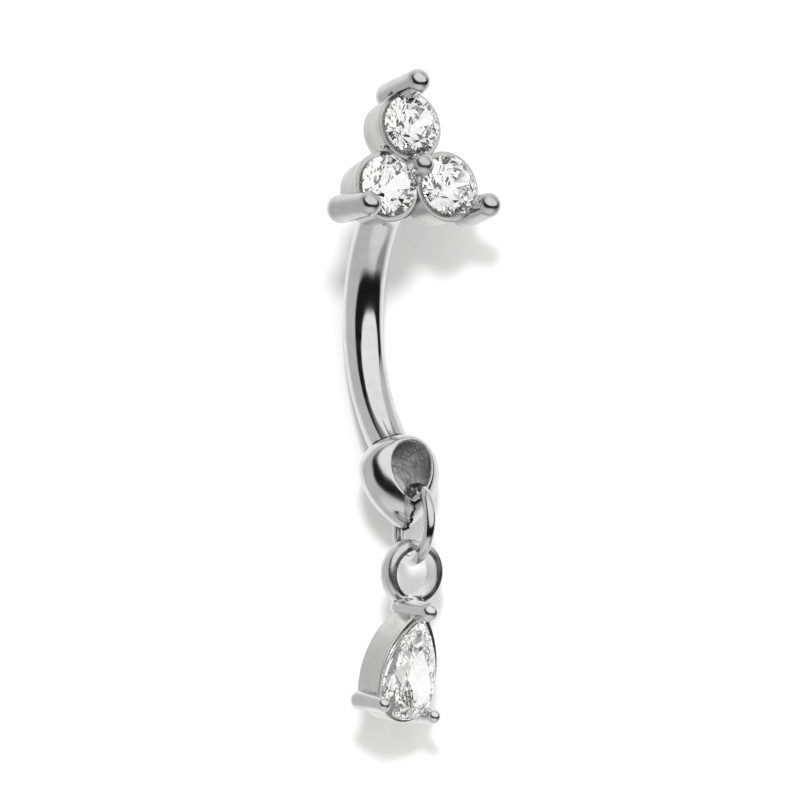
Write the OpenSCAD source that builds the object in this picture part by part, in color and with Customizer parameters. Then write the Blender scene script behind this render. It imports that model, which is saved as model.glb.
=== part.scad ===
// Curved barbell with a three-stone head and a pear drop on a jump ring.
// +Z runs up the post, the front faces -Y, and the origin is the middle of the post.

/* [Post] */
// Diameter of the post
post_d = 1.2; // [1.1:0.1:1.3]
// Radius of the post's even curve
post_r = 5.5; // [5.3:0.1:5.7]
// Lean of the post where its even curve ends, behind the head
post_top_lean = 34; // [32:1:36]
// Lean of the post where it runs into the bail
post_end_lean = 42; // [40:1:44]
// Radius of the short bend behind the head
neck_r = 1.1; // [1:0.1:1.2]

/* [Round stones] */
// Diameter of each round stone
round_d = 1.86; // [1.8:0.02:1.9]
// Height of a crown as a share of the stone's width
crown_share = 0.15; // [0.12:0.01:0.18]
// Depth of a pavilion as a share of the stone's width
pavilion_share = 0.42; // [0.38:0.01:0.43]
// Width of a table as a share of the stone's width
table_share = 0.57; // [0.5:0.01:0.62]
// Thickness of a girdle
girdle = 0.1; // [0.08:0.01:0.12]

/* [Trinity head] */
// Distance between the centres of two round stones
stone_pitch = 2.15; // [2.14:0.01:2.18]
// Outside diameter of a cup at its front rim
cup_d = 2.18; // [2.18:0.01:2.22]
// Outside diameter of a cup at its back
cup_back_d = 1.9; // [1.86:0.01:2]
// Depth of one cup, front to back
cup_h = 1.15; // [1.05:0.05:1.15]
// How far a girdle stands in front of its cup's rim
proud = 0.1; // [0.1:0.01:0.14]
// Diameter of the hole in a cup's back
culet_hole_d = 0.8; // [0.6:0.05:0.9]
// Tilt of the face upwards from straight ahead
head_tilt = 12; // [11:1:13]
// Distance from the post's middle forward to the plane of the cups' rims
head_fwd = 2.86; // [2.84:0.01:2.9]
// Height of the head's centre above the post's middle
head_up = 4.59; // [4.56:0.01:4.6]
// Diameter of a head prong at its back end
prong_back_d = 0.86; // [0.8:0.02:0.88]
// Diameter of a head prong at its tip
prong_tip_d = 0.76; // [0.7:0.02:0.78]
// Diameter of the pin that holds the head in the post
pin_d = 0.7; // [0.6:0.05:0.7]
// Length of that pin
pin_l = 0.65; // [0.4:0.05:0.65]

/* [Bail] */
// Half width of the bail's front mouth, outside
bail_front_r = 0.85; // [0.82:0.01:0.88]
// Half width of the bail's back mouth, outside
bail_back_r = 0.92; // [0.88:0.01:0.94]
// Thickness of the bail's wall at its mouths
bail_wall = 0.16; // [0.14:0.01:0.18]
// How far the band swells between its two mouths
bail_swell = 0.15; // [0.1:0.01:0.16]
// How much wider than its mouths the bail is at its middle, as a share
bail_puff = 0.25; // [0.2:0.01:0.3]
// Radius of the round end of the hollow at the back mouth
bail_bore_r = 0.58; // [0.57:0.01:0.6]

/* [Jump ring] */
// Outside diameter of the jump ring
link_d = 2.52; // [2.51:0.01:2.53]
// Diameter of its wire
link_wire = 0.36; // [0.34:0.01:0.36]

/* [Drop] */
// Length of the pear stone
pear_l = 3.05; // [3:0.01:3.1]
// Width of the pear stone
pear_w = 1.86; // [1.82:0.01:1.9]
// How far the pear setting's wall stands outside the stone
gallery_wall = 0.08; // [0.07:0.01:0.1]
// Depth of the pear setting's wall, front to back
gallery_h = 1.05; // [1:0.05:1.1]
// Outside diameter of the drop's ring
eye_d = 1.98; // [1.96:0.01:2]
// Inside diameter of the drop's ring
eye_hole_d = 1.4; // [1.38:0.01:1.42]
// Width of the drop's ring, front to back
eye_w = 0.6; // [0.54:0.01:0.62]
// How far the drop leans to its side
drop_lean = 11.4; // [10:0.2:13]

/* [Hidden] */
$fn = 64;

// Clearance between a stone and its seat, and between the head and the post
gap = 0.03;
// Width of the slope that carries a stone inside its setting
ledge_w = 0.12;
// Depth of the step that stands for that slope in the pear setting
step_h = 0.11;
// Thickness of a cup's floor
floor_h = 0.15;
// Thickness of the boss on the head's back, and its diameter
boss_h = 0.12;
boss_d = post_d;
// How far the straight stem starts inside the bend of the neck, and how much thicker it is
stem_in = 0.06;
stem_more = 0.02;
// A length greater than any stone
big = 6;

// Slope of a stone's star facets
star_slope = 24;
// How much steeper than the mains the upper girdle facets are, as a ratio
upper_rise = 1.22;
// How much steeper than the mains the lower girdle facets are, in degrees
lower_extra = 1.5;
// How far the girdle facets start inside the outline, as a share of the stone's radius
facet_in = 0.02;

// Lean of the post where it meets the head square on
neck_lean = 90 - head_tilt;
// The neck's end, forward of and above the post's middle
neck_fwd = post_r * (1 - cos(post_top_lean)) + neck_r * (cos(post_top_lean) - cos(neck_lean));
neck_up = post_r * sin(post_top_lean) + neck_r * (sin(neck_lean) - sin(post_top_lean));
// The same point measured up the face and out of it
stem_y = (head_fwd - neck_fwd) * sin(head_tilt) + (neck_up - head_up) * cos(head_tilt);
stem_z = (neck_fwd - head_fwd) * cos(head_tilt) + (neck_up - head_up) * sin(head_tilt);

// Distance from the head's centre to a stone's centre
cup_out = stone_pitch / sqrt(3);
// Distance from the head's centre to a corner prong
prong_out = cup_out + 1.25;
// How much lower than their corners the prongs stand on the face
prong_drop = 0.04;
// Top, left and right prong: the foot's angle, how much nearer the centre it is, its height, and
// the tip's angle and height
corner_prongs = [[90, 0.11, -0.9, 90, 0.67], [206, 0, -0.85, 210, 0.54], [330, 0, -0.9, 330, 0.46]];
// Heights of the centre prong's two ends, and its tip's diameter
centre_prong = [-0.6, 0.4];
centre_tip_d = prong_tip_d - 0.06;
// The ends of the wedge that runs down from the centre prong, and their diameters
wedge = [[0, -0.1, 0.2], [0, -0.5, 0.1]];
wedge_d = 0.5;
wedge_end_d = 0.14;

// The bail's front and back mouths: lowest point forward and up, lean, and length
front_fwd = 2.86;
front_up = -5.53;
front_lean = 8;
front_l = 2.12;
back_fwd = 2.17;
back_up = -6.32;
back_lean = 30;
back_l = 2.62;
// How far the hollow's point is above the bail's lowest edge, at the front and the back, and its
// length at the back
bore_up = 0.18;
bore_back_up = 0.06;
bore_back_l = 1.98;

// Middle of the jump ring, forward and up, its turn about Z and its lean to the side
link_fwd = 2.82;
link_up = -6.13;
link_turn = -8;
link_lean = 5;
link_r = (link_d - link_wire) / 2;

// The drop's nod forwards
drop_nod = 5.3;
// The middle of the eye below the link's wire, and in front of the wire's lowest point
eye_drop = 0.355;
eye_slide = 0.16;
// The pear's middle below the link's wire and beside it, and how far forward its wall's rim is
pear_down = 3.2;
pear_side = -0.03;
pear_fwd = 1.24;
// The pear's turn away from the eye that it is soldered to
pear_turn = 4;
pear_r = pear_w / 2;
// Distance from the middle of the pear's round end to its point
pear_tip = pear_l - pear_r;
pear_round_y = (pear_r - pear_tip) / 2;
// How much wider than the stone the wall's shoulders are, and how high they sit
shoulder_w = 0.1;
shoulder_up = 0.3;
// Angle below level, and distance from the round end's middle, of the pear's lower prongs
claw_angle = 33;
claw_out = 1.15;
// Heights of a lower prong's ends, and its diameters
claw_z = [-0.8, 0.36];
claw_d = [0.6, 0.44];
// The same of the prong at the pear's point, and how far beyond the point it stands
point_z = [-1.1, 0.3];
point_d = [0.6, 0.58];
point_out = 0.24;

// A value part of the way from a to b
function mix(a, b, t) = a + (b - a) * t;

// How far a stone's outline reaches in a direction: a circle, or a pear with two side arcs
function side_r(r, tip) = (tip * tip + r * r) / (2 * r);
function reach(az, r, tip) =
    tip == 0 || sin(az) <= 0 ? r :
    sin(az) < tip / side_r(r, tip) ? side_r(r, tip) - (side_r(r, tip) - r) * abs(cos(az)) :
    tip * sin(az);

// A point on the head's face at an angle and distance from its centre
function face_at(angle, out, z) = [out * cos(angle), out * sin(angle), z];

// Outline of a stone, or of a wall that follows it at a distance
module outline(r, tip, grow) {
    circle(r + grow);
    if (tip > 0) {
        intersection() {
            translate([r - side_r(r, tip), 0]) circle(side_r(r, tip) + grow, $fn = 2 * $fn);
            translate([side_r(r, tip) - r, 0]) circle(side_r(r, tip) + grow, $fn = 2 * $fn);
            translate([-big / 2, 0]) square(big);
        }
    }
}

// Cuts flat facets off its children one after another. A facet is given by its direction, its
// slope, and the radius and height of a point in its plane
module cut(facets, i = 0) {
    if (i < len(facets))
        difference() {
            cut(facets, i + 1) children();
            rotate([0, 0, facets[i][0]])
                translate([facets[i][2], 0, facets[i][3]])
                    rotate([0, facets[i][1], 0])
                        translate([-big / 2, -big / 2, 0])
                            cube(big);
        }
    else
        children();
}

// A brilliant: main, star and girdle facets over mains and girdle facets that meet at the culet
module gem(r, tip) {
    crown_h = 2 * r * crown_share;
    pavilion_h = 2 * r * pavilion_share;
    edge = girdle / 2;
    crown = [for (az = [0:45:315]) let (out = reach(az, r, tip))
        [az, atan(crown_h / (out * (1 - table_share))), out, edge]];
    pavilion = [for (az = [0:45:315]) let (out = reach(az, r, tip))
        [az, 180 - atan(pavilion_h / out), out, -edge]];
    stars = [for (az = [22.5:45:337.5])
        [az, star_slope, reach(az, r, tip) * table_share * cos(22.5), crown_h + edge]];
    upper = [for (az = [11.25:22.5:348.75]) let (out = reach(az, r, tip))
        [az, atan(upper_rise * crown_h / (out * (1 - table_share))), out - facet_in * r, edge]];
    lower = [for (az = [11.25:22.5:348.75]) let (out = reach(az, r, tip))
        [az, 180 - lower_extra - atan(pavilion_h / out), out - facet_in * r, -edge]];
    cut(concat(crown, pavilion, stars, upper, lower))
        translate([0, 0, -pavilion_h - edge])
            linear_extrude(pavilion_h + crown_h + 2 * edge) outline(r, tip, 0);
}

// Room for a round stone: the slope under its girdle, the girdle and the slope of its crown
module round_space() {
    r = round_d / 2 + gap;
    edge = girdle / 2;
    crown_top = edge + round_d * crown_share + gap;
    slope_foot = -edge - 4 * ledge_w * pavilion_share;
    rotate_extrude()
        polygon([[0, slope_foot], [r - 2 * ledge_w, slope_foot], [r, -edge], [r, edge],
            [r * table_share, crown_top], [0, crown_top]]);
}

// A rod that tapers from one round end to the other
module rod(foot, tip, foot_d, tip_d) {
    way = tip - foot;
    l = norm(way);
    translate(foot)
        rotate([0, acos(way[2] / l), atan2(way[1], way[0])])
            rotate_extrude()
                intersection() {
                    union() {
                        circle(d = foot_d);
                        translate([0, l]) circle(d = tip_d);
                        polygon([[0, 0], [foot_d / 2, 0], [tip_d / 2, l], [0, l]]);
                    }
                    translate([0, -big / 2]) square(big);
                }
}

// Places children on the head's face: x to the side, y up the face, z out of it
module on_face() {
    translate([0, -head_fwd, head_up]) rotate([90 - head_tilt, 0, 0]) children();
}

// Places children at one of the three stones, counted from the top
module at_stone(i) {
    on_face() translate(face_at(90 + 120 * i, cup_out, proud)) children();
}

// Places children on the drop, whose origin is the link's wire that it hangs from
module on_drop() {
    translate([0, -link_fwd, link_up])
        rotate([0, link_lean, link_turn])
            translate([0, 0, -link_r])
                rotate([0, -link_lean, 0])
                    rotate([0, 0, -link_turn])
                        rotate([drop_nod, 0, 0])
                            rotate([0, drop_lean, 0])
                                children();
}

// Places children in the plane of the pear wall's rim, at the middle of its round end
module on_pear() {
    on_drop()
        translate([pear_side, -pear_fwd, -pear_down])
            rotate([90, 0, pear_turn])
                translate([0, pear_round_y, 0])
                    children();
}

// One thin slice of the bail or of its hollow, at t from the front mouth to the back mouth: a pear
// of radius r and length l whose point is up above the bail's lowest edge, grown and widened
module bail_slice(t, r, l, up, grow = 0, widen = 1) {
    translate([0, -mix(front_fwd, back_fwd, t), mix(front_up, back_up, t)])
        rotate([-mix(front_lean, back_lean, t), 0, 0])
            translate([0, 0, up + l - r])
                rotate([-90, 0, 0])
                    linear_extrude(0.01) scale([widen, 1]) outline(r, l - r, grow, $fn = 32);
}

// A curved post, bent forward at its head end, with the bail soldered to its foot
module post_with_bail() {
    color("silver")
        difference() {
            union() {
                translate([0, -post_r, 0])
                    rotate([90, 0, 90])
                        rotate([0, 0, -post_end_lean])
                            rotate_extrude(angle = post_end_lean + post_top_lean)
                                translate([post_r, 0]) circle(d = post_d);
                translate([0, -post_r, 0])
                    rotate([post_top_lean, 0, 0])
                        translate([0, post_r - neck_r, 0])
                            rotate([90, 0, 90])
                                rotate_extrude(angle = neck_lean - post_top_lean)
                                    translate([neck_r, 0]) circle(d = post_d);
                on_face()
                    translate([0, stem_y, stem_z - stem_in])
                        cylinder(h = stem_in - stem_z - cup_h - boss_h - gap, d = post_d + stem_more);
                hull()
                    for (t = [0:0.25:1])
                        bail_slice(t, mix(bail_front_r, bail_back_r, t), mix(front_l, back_l, t), 0,
                            4 * bail_swell * t * (1 - t), 1 + 4 * bail_puff * t * (1 - t));
            }
            on_face()
                translate([0, stem_y, -cup_h - boss_h - pin_l - 2 * gap])
                    cylinder(h = pin_l + 1, d = pin_d + 2 * gap);
            hull()
                for (t = [-0.2, 1.2])
                    bail_slice(t, mix(bail_front_r - bail_wall, bail_bore_r, t),
                        mix(front_l - bail_wall - bore_up, bore_back_l, t),
                        mix(bore_up, bore_back_up, t));
        }
}

// Three cups side by side, four prongs, and the pin that goes into the post
module trinity_setting() {
    color("silver")
        on_face()
            difference() {
                union() {
                    for (i = [0:2])
                        translate(face_at(90 + 120 * i, cup_out, -cup_h))
                            cylinder(h = cup_h, d1 = cup_back_d, d2 = cup_d);
                    translate([0, -prong_drop, 0]) {
                        for (p = corner_prongs)
                            rod(face_at(p[0], prong_out - p[1], p[2]), face_at(p[3], prong_out, p[4]),
                                prong_back_d, prong_tip_d);
                        rod([0, 0, centre_prong[0]], [0, 0, centre_prong[1]],
                            prong_tip_d, centre_tip_d);
                        rod(wedge[0], wedge[1], wedge_d, wedge_end_d);
                    }
                    translate([0, stem_y, -cup_h - boss_h]) cylinder(h = boss_h + 0.1, d = boss_d);
                    translate([0, stem_y, -cup_h - boss_h - pin_l])
                        cylinder(h = pin_l + 0.1, d = pin_d);
                }
                for (i = [0:2])
                    translate(face_at(90 + 120 * i, cup_out, 0)) {
                        translate([0, 0, proud]) round_space();
                        translate([0, 0, floor_h - cup_h])
                            cylinder(h = cup_h - floor_h, d = round_d - 2 * ledge_w);
                        translate([0, 0, -cup_h - 1]) cylinder(h = 2, d = culet_hole_d);
                    }
            }
}

module round_stone(i) {
    color("white") at_stone(i) gem(round_d / 2, 0);
}

module stone_top() {
    round_stone(0);
}

module stone_left() {
    round_stone(1);
}

module stone_right() {
    round_stone(2);
}

// A closed round ring of wire, through the bail and through the drop's eye
module jump_ring() {
    color("silver")
        translate([0, -link_fwd, link_up])
            rotate([0, link_lean, link_turn])
                rotate([0, 90, 0])
                    rotate_extrude() translate([link_r, 0]) circle(d = link_wire);
}

// Half of the eye's cross-section: a band with rounded edges
module eye_section() {
    mid = (eye_hole_d + eye_d) / 4;
    bar = (eye_d - eye_hole_d) / 4;
    translate([mid - bar, bar - eye_w / 2]) square([2 * bar, eye_w - 2 * bar]);
    for (side = [-1, 1])
        translate([mid, side * (eye_w / 2 - bar)]) circle(bar, $fn = 32);
}

// Pear wall with a sloped seat, three prongs and the eye soldered over its point
module pear_setting() {
    claw_x = claw_out * cos(claw_angle);
    claw_y = -claw_out * sin(claw_angle);
    color("silver") {
        on_pear()
            difference() {
                union() {
                    translate([0, 0, -gallery_h])
                        linear_extrude(gallery_h) {
                            outline(pear_r, pear_tip, gallery_wall);
                            translate([0, shoulder_up]) outline(pear_r + shoulder_w, pear_tip, 0);
                        }
                    rod([0, pear_tip + point_out, point_z[0]], [0, pear_tip + point_out, point_z[1]],
                        point_d[0], point_d[1]);
                    for (side = [-1, 1])
                        rod([side * claw_x, claw_y, claw_z[0]], [side * claw_x, claw_y, claw_z[1]],
                            claw_d[0], claw_d[1]);
                }
                translate([0, 0, proud - girdle / 2 - 2 * gap])
                    linear_extrude(girdle + 4 * gap) outline(pear_r, pear_tip, gap);
                translate([0, 0, -step_h])
                    linear_extrude(step_h + proud) outline(pear_r, pear_tip, -gap);
                translate([0, 0, -big / 2])
                    linear_extrude(big / 2) outline(pear_r, pear_tip, -ledge_w);
            }
        on_drop()
            translate([0, -eye_slide, -eye_drop])
                rotate([90, 0, 0]) rotate_extrude() eye_section();
    }
}

module pear_stone() {
    color("white") on_pear() translate([0, 0, proud]) gem(pear_r, pear_tip);
}

post_with_bail();
trinity_setting();
stone_top();
stone_left();
stone_right();
jump_ring();
pear_setting();
pear_stone();
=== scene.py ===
import math

import bpy
import numpy as np
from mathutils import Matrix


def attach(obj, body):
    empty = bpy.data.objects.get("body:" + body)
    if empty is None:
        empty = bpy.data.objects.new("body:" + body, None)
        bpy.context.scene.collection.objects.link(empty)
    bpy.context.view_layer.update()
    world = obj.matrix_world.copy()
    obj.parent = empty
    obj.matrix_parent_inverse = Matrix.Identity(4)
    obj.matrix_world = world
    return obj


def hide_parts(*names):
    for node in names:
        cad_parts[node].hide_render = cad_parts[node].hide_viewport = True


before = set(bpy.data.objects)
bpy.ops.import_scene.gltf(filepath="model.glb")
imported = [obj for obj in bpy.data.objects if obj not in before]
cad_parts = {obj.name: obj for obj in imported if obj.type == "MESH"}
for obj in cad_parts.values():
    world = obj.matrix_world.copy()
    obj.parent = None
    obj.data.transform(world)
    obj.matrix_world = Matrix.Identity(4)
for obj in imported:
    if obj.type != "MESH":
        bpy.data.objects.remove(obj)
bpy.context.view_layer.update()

# The post: a curved 16 gauge bar of surgical steel, bent forward at its top to meet the head.
# It is drawn wire, polished by hand on a wheel, so its long reflections waver a little and it
# keeps fine scratches.
MM = 0.001
POST_R = 5.5
NECK_R = 1.1
POST_WIRE = 0.6
AROUND = 64
# Lean of the bar where its foot begins, where the neck begins, and at the neck's end
FOOT_LEAN = math.radians(-20)
TOP_LEAN = math.radians(34)
NECK_LEAN = math.radians(78)
# The short stem at the neck's end has a rounded edge: places along it, and its radius there
STEM_EDGE = ((0.08, 0.6), (0.1, 0.595), (0.12, 0.58), (0.13, 0.555))
# The foot is cut to the bail. At the bail's front and back mouth these are how far forward and how
# high its lowest point is, its lean in degrees, its half width and its length
MOUTH_AHEAD = (2.86, 2.17)
MOUTH_LOW = (-5.53, -6.32)
MOUTH_LEAN = (8, 30)
MOUTH_HALF = (0.85, 0.92)
MOUTH_LONG = (2.12, 2.62)
# Between its mouths the bail swells by this, times t(1 - t)
DOME = 0.6


def srgb(code):
    """Linear RGBA of a hex colour."""
    c = np.array([int(code[i:i + 2], 16) for i in (1, 3, 5)]) / 255
    c = np.where(c > 0.04045, ((c + 0.055) / 1.055) ** 2.4, c / 12.92)
    return (*c, 1.0)


def add(tree, kind, settings=None, links=None):
    """A node with its settings and its inputs: an input is a value or another node's output."""
    node = tree.nodes.new(kind)
    for key, value in (settings or {}).items():
        setattr(node, key, value)
    for key, value in (links or {}).items():
        socket = node.inputs[key]
        if isinstance(value, bpy.types.NodeSocket):
            tree.links.new(value, socket)
        else:
            socket.default_value = value
    return node


def blank(name):
    """A new material and its node tree, emptied."""
    mat = bpy.data.materials.new(name)
    mat.use_nodes = True
    mat.node_tree.nodes.clear()
    return mat, mat.node_tree


def steel(name, light, dark, shine, satin, wave, grain=(1, 1, 1)):
    """Surgical steel. light and dark are its two tones, shine and satin its lowest and highest
    roughness, wave the height in micrometres of the hollows that polishing leaves, and grain the
    stretch of its scratches. Solder, where the attribute seam rises, is darker, dull and pitted."""
    mat, tree = blank(name)
    place = add(tree, "ShaderNodeAttribute", {"attribute_name": "along"}).outputs["Vector"]
    # Hollows are about 1.1 mm wide
    hollow = add(tree, "ShaderNodeTexNoise", links={"Vector": place, "Scale": 900.0, "Detail": 1.0})
    # Real scratches are a few micrometres wide. These are 0.07 mm, the finest that shows
    across = add(tree, "ShaderNodeMapping", links={"Vector": place, "Scale": grain})
    scratch = add(tree, "ShaderNodeTexNoise",
                  links={"Vector": across.outputs[0], "Scale": 14000.0, "Detail": 3.0,
                         "Roughness": 0.7})
    # Cloudy change of polish, 0.5 mm across
    cloud = add(tree, "ShaderNodeTexNoise", links={"Vector": place, "Scale": 2000.0, "Detail": 4.0})
    seam = add(tree, "ShaderNodeAttribute", {"attribute_name": "seam"}).outputs["Fac"]
    # Pits in the solder are about 0.1 mm
    pit = add(tree, "ShaderNodeTexNoise", links={"Vector": place, "Scale": 9000.0, "Detail": 3.0})
    pitted = add(tree, "ShaderNodeMath", {"operation": "MULTIPLY_ADD"},
                 {0: seam, 1: 0.55, 2: pit.outputs["Fac"]})
    dirt = add(tree, "ShaderNodeMapRange",
               links={"Value": pitted.outputs[0], "From Min": 0.86, "From Max": 1.02})
    rough = add(tree, "ShaderNodeMapRange",
                links={"Value": cloud.outputs["Fac"], "From Min": 0.3, "From Max": 0.7,
                       "To Min": shine, "To Max": satin})
    dull = add(tree, "ShaderNodeMath", {"operation": "MULTIPLY_ADD", "use_clamp": True},
               {0: dirt.outputs[0], 1: 0.35, 2: rough.outputs[0]})
    tone = add(tree, "ShaderNodeMix", {"data_type": "RGBA"},
               {0: cloud.outputs["Fac"], 6: srgb(light), 7: srgb(dark)})
    soot = add(tree, "ShaderNodeMix", {"data_type": "RGBA"},
               {0: dirt.outputs[0], 6: tone.outputs[2], 7: srgb("#484848")})
    swell = add(tree, "ShaderNodeBump",
                links={"Height": hollow.outputs["Fac"], "Distance": wave * 1e-6, "Strength": 1.0})
    lines = add(tree, "ShaderNodeBump",
                links={"Height": scratch.outputs["Fac"], "Distance": 1.6e-6, "Strength": 0.6,
                       "Normal": swell.outputs[0]})
    crater = add(tree, "ShaderNodeBump",
                 links={"Height": dirt.outputs[0], "Distance": -2e-5, "Strength": 1.0,
                        "Normal": lines.outputs[0]})
    shader = add(tree, "ShaderNodeBsdfPrincipled",
                 links={"Base Color": soot.outputs[2], "Metallic": 1.0,
                        "Roughness": dull.outputs[0], "Normal": crater.outputs[0]})
    add(tree, "ShaderNodeOutputMaterial", links={"Surface": shader.outputs[0]})
    return mat


def skin(grid, ring=False):
    """A shell over a grid of points: its points, the corners of its faces in one row, and how many
    corners each face has. Columns close round. Rows close too if ring, or else each end row is one
    point. A shell that is inside out by its volume is turned."""
    rows, cols = grid.shape[:2]
    if ring:
        points = grid.reshape(-1, 3)
        low = np.arange(rows * cols).reshape(rows, cols)
        high = np.roll(low, -1, axis=0)
        tris = np.zeros((0, 3), int)
    else:
        points = np.concatenate([grid[1:-1].reshape(-1, 3), grid[0, :1], grid[-1, :1]])
        k = np.arange((rows - 2) * cols).reshape(rows - 2, cols)
        low, high = k[:-1], k[1:]
        first, last = np.full(cols, len(points) - 2), np.full(cols, len(points) - 1)
        tris = np.concatenate([np.stack([first, np.roll(k[0], -1), k[0]], -1),
                               np.stack([last, k[-1], np.roll(k[-1], -1)], -1)])
    quads = np.stack([low, np.roll(low, -1, 1), np.roll(high, -1, 1), high], -1).reshape(-1, 4)
    halves = np.concatenate([quads[:, :3], quads[:, [0, 2, 3]], tris])
    one, two, three = (points[halves[:, i]] for i in range(3))
    if np.einsum("ij,ij->", one, np.cross(two, three)) < 0:
        quads, tris = quads[:, ::-1], tris[:, ::-1]
    corners = np.concatenate([quads.ravel(), tris.ravel()])
    return points, corners, np.repeat([4, 3], [len(quads), len(tris)])


def piece(name, shells, material, body, stands_for=(), marks=(), smooth=35, along=None):
    """One object from several shells in mm. Edges of more than smooth degrees stay sharp. marks are
    (x, y, z, radius) of solder joints: round each one the attribute seam rises to 1. The attribute
    along holds each point's place as the metal was before it was bent, which its grain follows."""
    shell_points, shell_corners, shell_sizes = zip(*shells)
    before = np.cumsum([0] + [len(p) for p in shell_points[:-1]])
    points = np.concatenate(shell_points)
    corners = np.concatenate([c + b for c, b in zip(shell_corners, before)]).astype(np.int32)
    sizes = np.concatenate(shell_sizes)
    mesh = bpy.data.meshes.new(name)
    mesh.vertices.add(len(points))
    mesh.vertices.foreach_set("co", (points * MM).ravel())
    mesh.loops.add(len(corners))
    mesh.loops.foreach_set("vertex_index", corners)
    mesh.polygons.add(len(sizes))
    mesh.polygons.foreach_set("loop_start", (np.cumsum(sizes) - sizes).astype(np.int32))
    mesh.update(calc_edges=True)
    mesh.shade_smooth()
    mesh.set_sharp_from_angle(angle=math.radians(smooth))
    near = np.zeros(len(points))
    for x, y, z, r in marks:
        near = np.maximum(near, np.clip(2 - np.linalg.norm(points - (x, y, z), axis=1) / r, 0, 1))
    seam = mesh.attributes.new("seam", "FLOAT", "POINT")
    seam.data.foreach_set("value", near.astype(np.float32))
    unbent = mesh.attributes.new("along", "FLOAT_VECTOR", "POINT")
    unbent.data.foreach_set("vector", ((points if along is None else along) * MM).ravel())
    mesh.materials.append(material)
    obj = bpy.data.objects.new(name, mesh)
    bpy.context.scene.collection.objects.link(obj)
    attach(obj, body)
    if stands_for:
        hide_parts(*stands_for)
    return obj


def post_line(lean):
    """Forward and up on the post's middle line: an arc of 5.5 mm, then the neck's arc of 1.1."""
    low = np.minimum(lean, TOP_LEAN)
    high = np.maximum(lean, TOP_LEAN)
    f = POST_R * (1 - np.cos(low)) + NECK_R * (math.cos(TOP_LEAN) - np.cos(high))
    z = POST_R * np.sin(low) + NECK_R * (np.sin(high) - math.sin(TOP_LEAN))
    return f, z


def round_post(lean, turn, r):
    """A point on the post: r from its middle line, turned from its side towards its front."""
    f, z = post_line(lean)
    out = r * np.sin(turn)
    return np.stack([r * np.cos(turn) + 0 * lean, -(f + out * np.cos(lean)),
                     z - out * np.sin(lean)], -1)


def mix(a, b, t):
    """From a, where t is 0, to b, where t is 1, in a straight line that runs on past both."""
    return a + (b - a) * t


def inside_bail(points, depth):
    """Below zero where a point above the bail's middle lies deeper than depth under its skin. The
    leaning slice t that it lies on is found in steps: each is the distance left over 1.8, a little
    more than the bail's depth of 1.5 mm. There the skin is a half circle, swollen and widened."""
    f, z = -points[..., 1], points[..., 2]
    t = 0 * f
    for _ in range(20):
        lean = np.radians(mix(*MOUTH_LEAN, t))
        f_off, z_off = f - mix(*MOUTH_AHEAD, t), z - mix(*MOUTH_LOW, t)
        ahead = f_off * np.cos(lean) + z_off * np.sin(lean)
        t = np.clip(t - ahead / 1.8, 0, 1)
    half = mix(*MOUTH_HALF, t)
    rise = z_off * np.cos(lean) - f_off * np.sin(lean) - (mix(*MOUTH_LONG, t) - half)
    swell = t * (1 - t)
    wide = points[..., 0] / (1 + swell)
    return np.sqrt(wide ** 2 + rise ** 2 + ahead ** 2) - half - DOME * swell + depth


turn = np.linspace(0, 2 * np.pi, AROUND, endpoint=False)


def foot_lean(depth):
    """The lean at which each line along the post first sinks deeper than depth into the bail."""
    tries = np.radians(np.linspace(-18, -60, 400))
    there = inside_bail(round_post(tries[:, None], turn, POST_WIRE), depth) < 0
    return tries[np.where(there.any(0), np.argmax(there, axis=0), len(tries) - 1)]


# Bright, with soft hollows from the wheel and scratches that run along the bar
post_steel = steel("hand_polished_surgical_steel", "#EAEAEA", "#D2D2D2", 0.05, 0.16, 3.0,
                   (1, 1, 0.12))
cut = round_post(mix(FOOT_LEAN, foot_lean(0.1), np.linspace(1, 0, 24)[:, None]), turn, POST_WIRE)
leans = np.concatenate([np.linspace(FOOT_LEAN, TOP_LEAN, 60)[1:],
                        np.linspace(TOP_LEAN, NECK_LEAN, 40)[1:]])
bar = round_post(leans[:, None], turn, POST_WIRE)
stem_at, stem_r = np.array(STEM_EDGE).T[:, :, None]
stem_way = np.array([0, -math.sin(NECK_LEAN), math.cos(NECK_LEAN)])
stem = round_post(NECK_LEAN + 0 * stem_at, turn, stem_r) + stem_at[..., None] * stem_way
post_rows = np.concatenate([cut, bar, stem])
low_end, high_end = (np.broadcast_to(row.mean(0), (1, AROUND, 3)) for row in post_rows[[0, -1]])
post_rows = np.concatenate([low_end, post_rows, high_end])
line = post_rows.mean(1)
length = np.cumsum(np.linalg.norm(np.diff(line, axis=0, prepend=line[:1]), axis=1))
unbent = np.stack(np.broadcast_arrays(POST_WIRE * np.cos(turn), POST_WIRE * np.sin(turn),
                                      length[:, None]), -1)
piece("curved_post", [skin(post_rows)], post_steel, "root", ("post_with_bail",),
      along=np.concatenate([unbent[1:-1].reshape(-1, 3), unbent[[0, -1], 0]]))

# The bail: a strip of steel bent to a pear-shaped loop, its ends soldered together at the point,
# and soldered over the post's foot. Its outside is polished and its inside keeps file scratches.
BAIL_DEEP = 1.5
BAIL_WALL = 0.16
# The bore tapers straight from before the front mouth to past the back mouth. At the mouths these
# are its half width, its length, and how far it starts above the bail's lowest point
BORE_HALF = (0.69, 0.58)
BORE_LONG = (1.78, 1.98)
BORE_UP = (0.18, 0.06)
BORE_PAST = 0.2


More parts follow.
